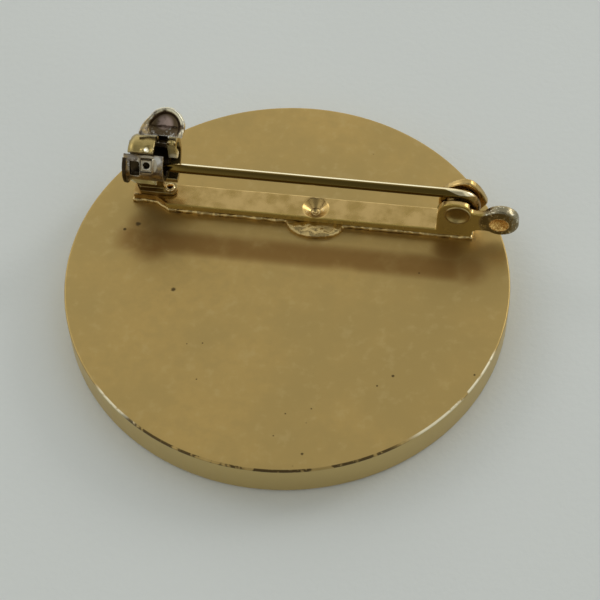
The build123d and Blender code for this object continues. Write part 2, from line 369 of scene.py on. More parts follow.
@dataclass(frozen=True)
class BackPlate:
    """The disc's satin gilt: cloudy tarnishing and specks, with painted reflection, shadow and edge
    highlights.
    """

    name: str
    gold: Colour = (0.52, 0.35, 0.122)
    olive: Colour = (0.45, 0.315, 0.115)
    reflection_and_shadow: Colour = (0.26, 0.14, 0.04)
    pits_and_dark_reflection: Colour = (0.07, 0.045, 0.02)
    haze: Colour = (0.58, 0.43, 0.19)
    wall: Colour = (0.64, 0.49, 0.21)
    wear_and_highlight: Colour = (0.92, 0.82, 0.58)
    roughness: float = 0.33
    back: float = 2.8 * MM
    edge: float = 15.87 * MM
    reflection_line: float = 2.05 * MM
    left_highlight: tuple[float, float] = (-13.3 * MM, -10.9 * MM)
    right_highlight: tuple[float, float] = (-12.1 * MM, -4.8 * MM)
    reflection_smudges: tuple[tuple[float, float, float, float], ...] = (
        (-10.2, 1.8, 2.2, 0.95), (-11.4, 3.4, 1.4, 0.5), (11.3, 3.5, 1.7, 0.75), (12.9, 2.2, 1.9, 0.75),
    )
    specks: tuple[Triple, ...] = (
        (-7.9, -2.1, 0.2), (-12.4, 2.8, 0.14), (-11.5, 3.4, 0.22), (8.44, -7.5, 0.12), (7.44, -8.45, 0.08),
        (3.03, -14.4, 0.11), (9.4, 1.4, 0.08), (-5.0, -9.4, 0.06), (14.0, -6.75, 0.09),
    )

    def shade(self, graph: Graph) -> dict:
        """The shader's sockets."""
        cloud = graph.noise(7 * MM, 3.0).spread(0.3, 0.7)
        colour = graph.mix(cloud, self.gold, self.olive)
        fleck = graph.noise(0.8 * MM, 4.0, shift=1.0)
        colour = graph.mix(fleck.spread(0.45, 0.7) * 0.5, colour, self.olive)
        colour = graph.mix(fleck.spread(0.48, 0.25) * 0.3, colour, self.haze)
        # Painted reflection and shadow of the bar and catch, broken up by noise.
        reflection_and_shadow = self.fitting_reflection(graph) * graph.noise(2.2 * MM, 3.0, shift=2.0).spread(0.0, 0.55)
        colour = graph.mix(reflection_and_shadow, colour, self.reflection_and_shadow)
        spots = self.spotted(graph)
        colour = graph.mix(spots * 0.85, colour, self.pits_and_dark_reflection)
        out = graph.off_line(Vector(), Vector((0, 0, 1)))
        rim = out.spread(self.edge - 0.03 * MM, self.edge + 0.03 * MM)
        upper = graph.axis("Z").spread(self.back - 0.22 * MM, self.back - 0.14 * MM)
        # The side wall gets a paler copy of the gold: painted reflection of the lit table.
        colour = graph.mix(rim * (1 - upper), colour, self.wall)
        # Painted highlights along two stretches of the back edge, broken up by noise.
        broken = graph.noise(0.7 * MM, 4.0, shift=8.0)
        colour = graph.mix(rim * upper * self.rubs_and_highlights(graph) * broken.spread(0.3, 0.45), colour, self.wear_and_highlight)
        # A broken dark line on the back edge's near middle: painted reflection.
        dark_edge_reflection = rim * upper * graph.axis("Y").spread(-12.4 * MM, -13.4 * MM) * broken.spread(0.55, 0.45)
        colour = graph.mix(dark_edge_reflection * 0.9, colour, self.pits_and_dark_reflection)
        rough = cloud * 0.05 + fleck * 0.1 + reflection_and_shadow * 0.08 + spots * 0.2 + self.roughness
        waves = graph.bump(graph.noise(2.4 * MM, 2.0, shift=4.0), 0.012 * MM)
        normal = graph.bump(graph.noise(0.1 * MM, 2.0), 0.0035 * MM, waves)
        return {"Base Color": colour, "Metallic": 1.0, "Roughness": rough, "Normal": normal}

    def fitting_reflection(self, graph: Graph) -> Socket:
        """Painted reflection and shadow of the fitting: a band beside the bar, and patches under its ends."""
        off = graph.axis("Y") - self.reflection_line
        across = graph.axis("X")
        band = (off * off).spread((1.35 * MM) ** 2, (0.3 * MM) ** 2)
        found = band * (across * across).spread((13.5 * MM) ** 2, (11.5 * MM) ** 2) * 0.9
        for side, up, radius, share in self.reflection_smudges:
            gap = graph.distance((side * MM, up * MM, self.back)).spread(radius * MM, 0.25 * radius * MM)
            found = found.math("MAXIMUM", found, gap * share)
        return found

    def spotted(self, graph: Graph) -> Socket:
        """Where the plate is pitted: a few larger specks and rare fine ones."""
        spots = graph.cells(0.9 * MM).spread(0.09, 0.03) * graph.noise(4 * MM, 1.0).spread(0.66, 0.74)
        for side, up, radius in self.specks:
            gap = graph.distance((side * MM, up * MM, self.back))
            wobble = graph.noise(0.15 * MM, 1.0) * (0.8 * radius * MM)
            spots = spots.math("MAXIMUM", spots, (gap + wobble).spread(1.6 * radius * MM, 0.8 * radius * MM))
        return spots

    def rubs_and_highlights(self, graph: Graph) -> Socket:
        """The two stretches of the back edge that get painted highlights."""
        across, up = graph.axis("X"), graph.axis("Y")
        left = across.spread(0.0, -1 * MM) * graph.within(up, *self.left_highlight, 0.4 * MM)
        right = across.spread(0.0, 1 * MM) * graph.within(up, *self.right_highlight, 0.5 * MM)
        return left + right

    def material(self) -> bpy.types.Material:
        """The finish as a material."""
        return surface(self.name, self.shade)


@dataclass(frozen=True)
class WornNickel:
    """Bare nickel where the gold plate has worn off, tarnished brown and gold in patches, with painted shade
    and highlights.
    """

    name: str
    axis: Vector
    shaded_bands: tuple[tuple[float, float], ...]
    tab: Vector
    ring: Vector
    rose_shift: Triple = (-0.1, 0.2, 0.3)
    light_shift: Triple = (0.7, 0.67, 0.6)
    glint_shift: Triple = (0.72, 0.4, 0.2)
    nickel: Colour = (0.36, 0.31, 0.25)
    brown: Colour = (0.13, 0.09, 0.055)
    gold: Colour = (0.48, 0.34, 0.14)
    shine: Colour = (0.85, 0.82, 0.75)
    pale: Colour = (0.86, 0.78, 0.56)
    beige: Colour = (0.58, 0.50, 0.36)
    hood_shade: Colour = (0.10, 0.068, 0.035)
    rose: Colour = (0.46, 0.34, 0.29)
    grime_and_shade: Colour = (0.035, 0.022, 0.01)
    gold_share: float = 0.22
    roughness: float = 0.26

    def shade(self, graph: Graph) -> dict:
        """The shader's sockets."""
        bend = graph.node("NewGeometry", {}, {}, "Pointiness")
        patch = graph.noise(0.55 * MM, 4.0)
        colour = graph.mix(patch.spread(0.35, 0.62), self.nickel, self.brown)
        left = graph.noise(1.3 * MM, 3.0, shift=2.0).spread(0.7 - self.gold_share, 0.8 - self.gold_share)
        colour = graph.mix(left * 0.8, colour, self.gold)
        colour = self.thumbed(graph, colour, patch)
        # Darker in the hollows: soiling and painted shade. Bright worn ridges.
        hollow = (bend + patch * 0.05).spread(0.5, 0.42)
        ridge = (bend + patch * 0.03).spread(0.53, 0.6)
        colour = graph.mix(hollow * 0.85, colour, self.grime_and_shade)
        colour = graph.mix(ridge * 0.8, colour, self.shine)
        # Painted shade, near black, inside the sleeve and round the tab's neck.
        gap = graph.off_line(self.axis, Vector((1, 0, 0)))
        for near, far in self.shaded_bands:
            colour = graph.mix(graph.within(gap, near, far, 0.03 * MM) * 0.93, colour, self.grime_and_shade)
        rough = patch * 0.2 + hollow * 0.25 - ridge * 0.08 + self.roughness
        scuffs = graph.noise(0.07 * MM, 3.0, stretch=(0.3, 1.0, 1.0))
        normal = graph.bump(scuffs, 0.004 * MM)
        return {"Base Color": colour, "Metallic": 1.0, "Roughness": rough, "Normal": normal}

    def thumbed(self, graph: Graph, colour: Socket, patch: Socket) -> Socket:
        """Painted shade in the thumb tab's hollow with a rosy patch, painted highlight on its rims, a painted
        glint by the ring.
        """
        gap = graph.distance(self.tab)
        # Painted shade, dark brown, over the thumb tab's hollow, with a rosy patch in it.
        hollow = gap.spread(1.42 * MM, 1.28 * MM)
        rose = graph.distance(self.tab + Vector(self.rose_shift) * MM).spread(0.75 * MM, 0.35 * MM)
        inside = graph.mix(rose * patch.spread(0.3, 0.5), self.hood_shade, self.rose)
        colour = graph.mix(hollow * 0.95, colour, inside)
        # Painted highlight on the thumb tab's rims, strongest towards its upper right.
        lit = graph.distance(self.tab + Vector(self.light_shift) * MM).spread(2.6 * MM, 0.9 * MM)
        rims = graph.within(gap, 1.36 * MM, 2.05 * MM, 0.06 * MM) * patch.spread(0.66, 0.46) * lit
        colour = graph.mix(rims, colour, self.pale)
        # A painted glint beside the ring.
        glint = graph.distance(self.ring + Vector(self.glint_shift) * MM).spread(0.42 * MM, 0.2 * MM)
        colour = graph.mix(glint * 0.85, colour, self.shine)
        raised = graph.within(graph.distance(self.ring), 0.26 * MM, 0.78 * MM, 0.04 * MM)
        return graph.mix(raised * 0.9, colour, self.beige)

    def material(self) -> bpy.types.Material:
        """The finish as a material."""
        return surface(self.name, self.shade)


@dataclass(frozen=True)
class Wire:
    """Drawn wire with a painted highlight on top, painted shade below, and worn brown where it turns round
    the rivet.
    """

    name: str
    pivot: Vector
    line: Vector
    radius: float
    gold: Colour = (1.0, 0.88, 0.60)
    dull: Colour = (0.85, 0.68, 0.36)
    tarnish_and_shade: Colour = (0.17, 0.11, 0.025)
    worn: Colour = (0.33, 0.19, 0.06)
    roughness: float = 0.13

    def shade(self, graph: Graph) -> dict:
        """The shader's sockets."""
        drawn = graph.noise(0.12 * MM, 2.0, stretch=(0.04, 1.0, 1.0))
        colour = graph.mix(drawn.spread(0.35, 0.7) * 0.6, self.gold, self.dull)
        # Painted highlight on the top of the wire and over the eye, painted shade on its lower side.
        lift = (graph.axis("Y") - self.line.y) * 0.7 + (graph.axis("Z") - self.line.z) * 0.71
        lift = lift + graph.axis("X").spread(self.pivot.x - 1.2 * MM, self.pivot.x + 0.2 * MM) * self.radius
        colour = graph.mix(lift.spread(0.72 * self.radius, 0.86 * self.radius), self.tarnish_and_shade, colour)
        past = graph.axis("X").spread(self.pivot.x + 0.55 * MM, self.pivot.x + 1.15 * MM)
        rubs_and_highlights = past * graph.noise(0.35 * MM, 4.0).spread(0.3, 0.55)
        colour = graph.mix(rubs_and_highlights, colour, self.worn)
        rough = rubs_and_highlights * 0.3 + drawn * 0.08 + self.roughness
        normal = graph.bump(drawn, 0.002 * MM)
        return {"Base Color": colour, "Metallic": 1.0, "Roughness": rough, "Normal": normal}

    def material(self) -> bpy.types.Material:
        """The finish as a material."""
        return surface(self.name, self.shade)


@dataclass(frozen=True)
class Enamel:
    """Fired glass: faint clouds in its colour, tiny bubbles and a polished, softly uneven top."""

    name: str
    colour: Colour
    cloud: Colour
    roughness: float = 0.09

    def shade(self, graph: Graph) -> dict:
        """The shader's sockets."""
        cloudy = graph.noise(1.8 * MM, 4.0).spread(0.3, 0.75)
        colour = graph.mix(cloudy, self.colour, self.cloud)
        bubbles = graph.cells(0.5 * MM).spread(0.09, 0.04) * graph.noise(2 * MM, 1.0).spread(0.5, 0.6)
        colour = graph.mix(bubbles * 0.6, colour, tuple(0.3 * part for part in self.colour))
        peel = graph.bump(graph.noise(0.8 * MM, 1.0), 0.006 * MM)
        normal = graph.bump(1 - bubbles, 0.01 * MM, peel)
        rough = cloudy * 0.05 + bubbles * 0.3 + self.roughness
        gloss = {"Coat Weight": 0.6, "Coat Roughness": 0.03, "IOR": 1.52}
        return {"Base Color": colour, "Roughness": rough, "Normal": normal} | gloss

    def material(self) -> bpy.types.Material:
        """The finish as a material."""
        return surface(self.name, self.shade)


@dataclass(frozen=True)
class Card:
    """The smooth pale card that the badge lies on."""

    name: str
    colour: Colour = (0.735, 0.75, 0.725)
    shade_colour: Colour = (0.695, 0.71, 0.685)

    def shade(self, graph: Graph) -> dict:
        """The shader's sockets."""
        soft = graph.noise(40 * MM, 2.0).spread(0.3, 0.7)
        fibre = graph.noise(0.5 * MM, 3.0)
        colour = graph.mix(soft * 0.6 + fibre * 0.3, self.colour, self.shade_colour)
        normal = graph.bump(fibre, 0.02 * MM)
        return {"Base Color": colour, "Roughness": 0.75, "Normal": normal}

    def material(self) -> bpy.types.Material:
        """The finish as a material."""
        return surface(self.name, self.shade)


# ---------------------------------------------------------------------------------------------
# The bench
# ---------------------------------------------------------------------------------------------


class Workpiece:
    """A mesh that operators shape, with its place in its vertices."""

    def __init__(self, name: str, thing: bpy.types.Object) -> None:
        """Takes a new object to the bench.

        Args:
            name: The piece's name.
            thing: The object, which becomes the active one.
        """
        self.thing = thing
        thing.name = thing.data.name = name
        self.hold()
        bpy.ops.object.transform_apply(location=True, rotation=True, scale=True)

    @classmethod
    def from_node(cls, name: str, node: str) -> "Workpiece":
        """Starts from a merged copy of a CAD node, with its flat triangles joined into faces."""
        source = frame["nodes"][node]
        thing = bpy.data.objects.new(name, source.data.copy())
        bpy.context.scene.collection.objects.link(thing)
        thing.data.materials.clear()
        piece = cls(name, thing)
        with piece.editing():
            bpy.ops.mesh.select_all(action="SELECT")
            bpy.ops.mesh.remove_doubles(threshold=0.002 * MM)
            bpy.ops.mesh.customdata_custom_splitnormals_clear()
            bpy.ops.mesh.dissolve_limited(angle_limit=radians(0.4))
        return piece

    @classmethod
    def from_primitive(cls, name: str, operator: Callable[..., set], **settings: object) -> "Workpiece":
        """Starts from a primitive, at its size and place."""
        bpy.ops.object.select_all(action="DESELECT")
        operator(**settings)
        return cls(name, bpy.context.object)

    def hold(self) -> None:
        """Makes this the only selected object and the active one."""
        bpy.ops.object.select_all(action="DESELECT")
        self.thing.select_set(True)
        bpy.context.view_layer.objects.active = self.thing

    @contextmanager
    def editing(self) -> Iterator[bpy.types.Mesh]:
        """Edit mode, starting from vertices, for the length of a with block."""
        self.hold()
        bpy.ops.object.mode_set(mode="EDIT")
        bpy.ops.mesh.select_mode(type=Element.VERTEX.value)
        yield self.thing.data
        bpy.ops.object.mode_set(mode="OBJECT")

    def pick(self, test: Test, element: Element = Element.VERTEX) -> int:
        """Selects, in edit mode, what passes a test, and nothing else.

        Args:
            test: Says yes or no from an element's middle and its normal.
            element: What is picked.

        Returns:
            How many were picked.
        """
        bpy.ops.mesh.select_mode(type=element.value)
        bpy.ops.mesh.select_all(action="DESELECT")
        mesh = bmesh.from_edit_mesh(self.thing.data)
        mesh.normal_update()
        found = 0
        for item in self.elements(mesh, element):
            if test(*self.middle(item)):
                item.select_set(True)
                found += 1
        # Extrude needs the edges between picked vertices to be picked too
        if element is Element.VERTEX:
            mesh.select_flush(True)
        bmesh.update_edit_mesh(self.thing.data)
        return found

    @staticmethod
    def elements(mesh: bmesh.types.BMesh, element: Element) -> bmesh.types.BMElemSeq:
        """The mesh's vertices, edges or faces."""
        return {Element.VERTEX: mesh.verts, Element.EDGE: mesh.edges, Element.FACE: mesh.faces}[element]

    @staticmethod
    def middle(item: bmesh.types.BMVert | bmesh.types.BMEdge | bmesh.types.BMFace) -> tuple[Vector, Vector]:
        """An element's middle and its normal."""
        if isinstance(item, bmesh.types.BMVert):
            return item.co, item.normal
        if isinstance(item, bmesh.types.BMFace):
            return item.calc_center_median(), item.normal
        first, second = item.verts
        return (first.co + second.co) / 2, (first.normal + second.normal).normalized()

    def cut_up(self, spacing: float) -> None:
        """Cuts the faces along a square grid, so that none of them stays large."""
        low, high = Vector(self.thing.bound_box[0]), Vector(self.thing.bound_box[6])
        with self.editing():
            for way in (Vector((1, 0, 0)), Vector((0, 1, 0))):
                lines = int((high - low).dot(way) / spacing) + 1
                step = way * ((high - low).dot(way) / lines)
                for number in range(1, lines):
                    bpy.ops.mesh.select_all(action="SELECT")
                    bpy.ops.mesh.bisect(plane_co=low + step * number, plane_no=way, threshold=CLOSE)

    def modify(self, kind: str, **settings: object) -> None:
        """Adds a modifier and applies it."""
        self.hold()
        modifier = self.thing.modifiers.new(kind.title(), kind)
        for name, value in settings.items():
            setattr(modifier, name, value)
        bpy.ops.object.modifier_apply(modifier=modifier.name)

    def remesh(self, voxel: float, smoothing: int) -> None:
        """Rebuilds the mesh from even squares and rounds its edges off."""
        self.modify("REMESH", mode="VOXEL", voxel_size=voxel, use_smooth_shade=True)
        self.modify("SMOOTH", factor=0.5, iterations=smoothing)

    def waver(self, size: float, depth: float) -> None:
        """Makes the surface softly uneven, by up to half a depth in and out."""
        texture = bpy.data.textures.new(f"{self.thing.name}_waver", "CLOUDS")
        texture.noise_scale = size
        texture.noise_depth = 1
        self.modify("DISPLACE", texture=texture, texture_coords="LOCAL", strength=depth, mid_level=0.5)

    def soften(self, where: Callable[[Vector], bool], times: int) -> None:
        """Rounds off one region, which a rule picks by place."""
        group = self.thing.vertex_groups.new(name="soft")
        group.add([v.index for v in self.thing.data.vertices if where(v.co)], 1.0, "REPLACE")
        self.modify("SMOOTH", factor=0.5, iterations=times, vertex_group=group.name)
        self.thing.vertex_groups.clear()

    def press(self, middle: Vector, reach: float, push: Vector) -> None:
        """Pushes a soft dent or bump into the surface, as a round punch does.

        Args:
            middle: The place of the deepest point.
            reach: The radius at which the push has faded out.
            push: Which way, and how far, the middle moves.
        """
        with self.editing():
            vertices = bmesh.from_edit_mesh(self.thing.data).verts
            nearest = min((vertex.co - middle).length for vertex in vertices)
            self.pick(lambda at, _: (at - middle).length <= nearest + 0.02 * MM)
            bpy.ops.transform.translate(
                value=push, use_proportional_edit=True, proportional_size=reach,
                proportional_edit_falloff="SMOOTH",
            )

    def shape(self, move: Callable[[Vector], Vector]) -> None:
        """Moves every vertex to where a rule says."""
        for vertex in self.thing.data.vertices:
            vertex.co = move(vertex.co)
        self.thing.data.update()

    def outward(self) -> None:
        """Merges doubles and turns every face outwards."""
        with self.editing():
            bpy.ops.mesh.select_all(action="SELECT")
            bpy.ops.mesh.remove_doubles(threshold=CLOSE)
            bpy.ops.mesh.normals_make_consistent(inside=False)

    def fit(
        self, body: Body, slot: str, finish: bpy.types.Material, *stands_for: str, angle: float = 35
    ) -> None:
        """Finishes the piece and fastens it to its body.

        Args:
            body: The CAD body that it moves with.
            slot: The record's material slot, which is not used.
            finish: Its material.
            stands_for: The CAD nodes that it replaces.
            angle: The sharpest bend, in degrees, that is shaded smooth.
        """
        self.hold()
        bpy.ops.object.shade_smooth_by_angle(angle=radians(angle))
        self.thing.data.materials.clear()
        self.thing.data.materials.append(finish)
        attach(self.thing, body.value)
        if stands_for:
            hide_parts(*stands_for)
        LOG.info("%s: %d faces", self.thing.name, len(self.thing.data.polygons))


def lathe(
    name: str, section: list[tuple[float, float]], centre: Vector, axis: Vector, steps: int
) -> Workpiece:
    """Turns a closed section about an axis.

    Args:
        name: The piece's name.
        section: The section's corners, as distance from the axis and place along it. It may start and
            end on the axis, and then the piece is solid.
        centre: The point of the axis where the place along it is zero.
        axis: The axis's direction.
        steps: How many flats the turned piece has.

    Returns:
        The turned piece.
    """
    across = axis.orthogonal().normalized()
    piece = Workpiece.from_primitive(name, bpy.ops.mesh.primitive_circle_add, vertices=len(section))
    for vertex, (radius, along) in zip(piece.thing.data.vertices, section):
        vertex.co = centre + across * radius + axis * along
    with piece.editing():
        if piece.pick(lambda at, _: (at - centre).cross(axis).length < CLOSE, Element.EDGE):
            bpy.ops.mesh.delete(type="EDGE")
        bpy.ops.mesh.select_mode(type=Element.VERTEX.value)
        bpy.ops.mesh.select_all(action="SELECT")
        bpy.ops.mesh.spin(steps=steps, angle=2 * pi, center=centre, axis=axis)
    piece.outward()
    return piece


def arc(
    centre: tuple[float, float], radius: float, start: float, end: float, steps: int
) -> list[tuple[float, float]]:
    """Points along an arc of a section, with angles in degrees."""
    turns = [radians(start + (end - start) * step / steps) for step in range(steps + 1)]
    return [(centre[0] + radius * cos(turn), centre[1] + radius * sin(turn)) for turn in turns]


# ---------------------------------------------------------------------------------------------
# The badge
# ---------------------------------------------------------------------------------------------


@dataclass
class Badge:
    """The struck gilt disc and its enamels."""

    grid: float = 0.8 * MM
    line_round: float = 0.05 * MM
    waviness: float = 0.03 * MM
    meniscus: tuple[tuple[float, float], ...] = ((0.07 * MM, 0.035 * MM), (0.16 * MM, 0.03 * MM))
    navy: Enamel = Enamel("navy_enamel", (0.022, 0.04, 0.17), (0.03, 0.06, 0.24))
    white: Enamel = Enamel("white_enamel", (0.80, 0.78, 0.70), (0.86, 0.85, 0.80))
    teal: Enamel = Enamel("teal_enamel", (0.015, 0.20, 0.22), (0.03, 0.28, 0.29))

    def build(self) -> None:
        """Makes the disc and every enamel."""
        self.disc()
        self.enamel("border_enamel", "border_enamel", self.navy.material())
        kinds = {"petal_enamel": self.white.material(), "field_enamel": self.teal.material()}
        for slot, finish in kinds.items():
            for node in sorted(name for name in frame["nodes"] if name.startswith(slot)):
                self.enamel(node, slot, finish)

    def disc(self) -> None:
        """The disc, with rounded metal lines on its front and a softly uneven back."""
        piece = Workpiece.from_node("gilt_disc", "badge_base")
        low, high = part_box("badge_base")
        with piece.editing():
            piece.pick(lambda at, _: at.z < low.z + CLOSE, Element.EDGE)
            bpy.ops.mesh.bevel(offset=self.line_round, segments=2, affect="EDGES", clamp_overlap=True)
        piece.cut_up(self.grid)
        self.unevenness(piece, high)
        piece.fit(Body.BADGE, "badge_metal", BackPlate("satin_gilt").material(), "badge_base", angle=30)

    def unevenness(self, piece: Workpiece, high: Vector) -> None:
        """Lets the back rise and fall a little, as a struck and polished blank does."""
        group = piece.thing.vertex_groups.new(name="back")
        edge, floor = high.x - 0.6 * MM, high.z - 0.01 * MM
        vertices = piece.thing.data.vertices
        flat = [vertex.index for vertex in vertices if vertex.co.z > floor and vertex.co.xy.length < edge]
        group.add(flat, 1.0, "REPLACE")
        texture = bpy.data.textures.new("back_waves", "CLOUDS")
        texture.noise_scale = 3 * MM
        settings = {"texture": texture, "texture_coords": "LOCAL", "vertex_group": "back", "direction": "Z"}
        piece.modify("DISPLACE", strength=self.waviness, mid_level=0.5, **settings)

    def enamel(self, node: str, slot: str, finish: bpy.types.Material) -> None:
        """One enamel, with its top sunk in a meniscus between the metal lines."""
        piece = Workpiece.from_node(f"{node}_glass", node)
        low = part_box(node)[0]
        with piece.editing():
            piece.pick(lambda at, up: at.z < low.z + CLOSE and up.z < -0.9, Element.FACE)
            for width, sink in self.meniscus:
                bpy.ops.mesh.inset(thickness=width, use_even_offset=False)
                bpy.ops.transform.translate(value=(0, 0, sink))
        piece.cut_up(self.grid)
        piece.fit(Body.BADGE, slot, finish, node, angle=40)


# ---------------------------------------------------------------------------------------------
# The brooch fitting
# ---------------------------------------------------------------------------------------------


@dataclass
class BroochBar:
    """The strip with its ears and finger tab, the solder under it and the joint's rivet."""

    voxel: float = 0.055 * MM
    solder_voxel: float = 0.07 * MM
    tab_radius: float = 1.3 * MM
    tab_height: float = 2.17 * MM
    dish_shift: Triple = (-0.1, 0.0, -0.19)
    dish_radius: float = 0.7 * MM
    dish_depth: float = 0.28 * MM
    neck: float = 1.5 * MM
    solder: Gilding = Gilding(
        "gilt_solder", gold=(0.62, 0.45, 0.19), tarnish_and_shade=(0.46, 0.32, 0.12), blotch=1.1 * MM, roughness=0.24,
        grain=0.35 * MM, grain_depth=0.03 * MM, edge=0.15, hollow_grime_and_shade=0.5,
    )
    rivet_finish: Gilding = Gilding(
        "rivet_gilt", gold=(0.42, 0.31, 0.12), tarnish_and_shade=(0.33, 0.23, 0.07), blotch=0.6 * MM, roughness=0.3,
    )

    def build(self) -> None:
        """Makes the bar, the solder and the rivet."""
        self.bar()
        self.bed()
        self.rivet()

    def bar(self) -> None:
        """The bar: edges rounded by plating, a thick worn rim on the tab and a spherical dish in it."""
        low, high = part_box("brooch_bar")
        tab = Vector((high.x - self.tab_radius, low.y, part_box("badge_base")[1].z + self.tab_height))
        dish = tab + Vector(self.dish_shift) * MM
        bar = Workpiece.from_node("bar", "brooch_bar")
        bar.remesh(self.voxel, 4)
        bar.soften(lambda at: at.x > pivot_of("stem_swing").x + self.neck, 10)
        bar.shape(lambda at: self.dished(at, dish, low.y))
        bar.waver(1.1 * MM, 0.03 * MM)
        bar.waver(4 * MM, 0.05 * MM)
        finish = BarGilding("bar_gilt", tab=tab, dish=dish, dish_radius=self.dish_radius)
        bar.fit(Body.BADGE, "fitting_metal", finish.material(), "brooch_bar")

    def dished(self, at: Vector, dish: Vector, face: float) -> Vector:
        """Presses the finger tab's face into a shallow bowl."""
        away = Vector((at.x - dish.x, at.z - dish.z)).length / self.dish_radius
        if away > 1.0 or at.y > face + 1.3 * self.dish_depth:
            return at
        return Vector((at.x, face + self.dish_depth * (1 - away * away), at.z))

    def bed(self) -> None:
        """The solder, crinkled where it set."""
        bed = Workpiece.from_node("solder_fillet", "solder_bed")
        bed.remesh(self.solder_voxel, 3)
        bed.waver(1.6 * MM, 0.2 * MM)
        bed.waver(0.5 * MM, 0.15 * MM)
        bed.fit(Body.BADGE, "solder", self.solder.material(), "solder_bed")

    def rivet(self) -> None:
        """The rivet, with the rim of each drilled end rolled over its ear."""
        low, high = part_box("joint_rivet")
        centre = (low + high) / 2
        half = (high.y - low.y) / 2
        lip = (high.x - low.x) / 2
        shank, roll = lip - 0.15 * MM, 0.11 * MM
        near_end = [
            (0.0, half - 0.26 * MM),
            (0.4 * MM, half - 0.25 * MM),
            (0.62 * MM, half - 0.2 * MM),
            *arc((lip - 1.3 * roll, half - 1.5 * roll), roll, 150, -60, 8),
            (shank, half - 2.4 * roll),
        ]
        section = near_end + [(away, -along) for away, along in reversed(near_end)]
        piece = lathe("hinge_rivet", section, centre, Vector((0, 1, 0)), 48)
        piece.fit(Body.BADGE, "fitting_metal", self.rivet_finish.material(), "joint_rivet")


@dataclass
class PinStem:
    """The pin wire: a drawn point, a straight run and an eye round the rivet."""

    taper: tuple[tuple[float, float], ...] = ((0.35, 0.93), (0.4, 0.85), (0.4, 0.72), (0.35, 0.5))
    flats: int = 28
    wrap: float = 250.0
    wrap_steps: int = 50
    run_steps: int = 30

    def build(self) -> None:
        """Makes the wire from one ring of points."""
        low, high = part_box("pin_stem")
        radius = (high.y - low.y) / 2
        line = Vector((low.x, (low.y + high.y) / 2, high.z - radius))
        pivot = pivot_of("stem_swing")
        taper_start = low.x + sum(length for length, _ in self.taper) * MM
        piece = Workpiece.from_primitive(
            "pin_wire", bpy.ops.mesh.primitive_circle_add, vertices=self.flats, radius=radius,
            location=(taper_start, line.y, line.z), rotation=(0, pi / 2, 0),
        )
        with piece.editing():
            bpy.ops.mesh.select_all(action="SELECT")
            run = (pivot.x - taper_start) / self.run_steps
            for _ in range(self.run_steps):
                bpy.ops.mesh.extrude_region_move(TRANSFORM_OT_translate={"value": (run, 0, 0)})
            bpy.ops.mesh.spin(steps=self.wrap_steps, angle=radians(self.wrap), center=pivot, axis=(0, -1, 0))
            bpy.ops.mesh.edge_face_add()
            piece.pick(lambda at, _: at.x < taper_start + CLOSE)
            at = taper_start
            for length, size in self.taper:
                bpy.ops.mesh.extrude_region_move(TRANSFORM_OT_translate={"value": (-length * MM, 0, 0)})
                at -= length * MM
                bpy.ops.transform.resize(value=(1, size, size), center_override=(at, line.y, line.z))
            bpy.ops.mesh.edge_face_add()
        piece.outward()
        finish = Wire("drawn_gilt", pivot, line, radius)
        piece.fit(Body.STEM, "stem_wire", finish.material(), "pin_stem", angle=50)


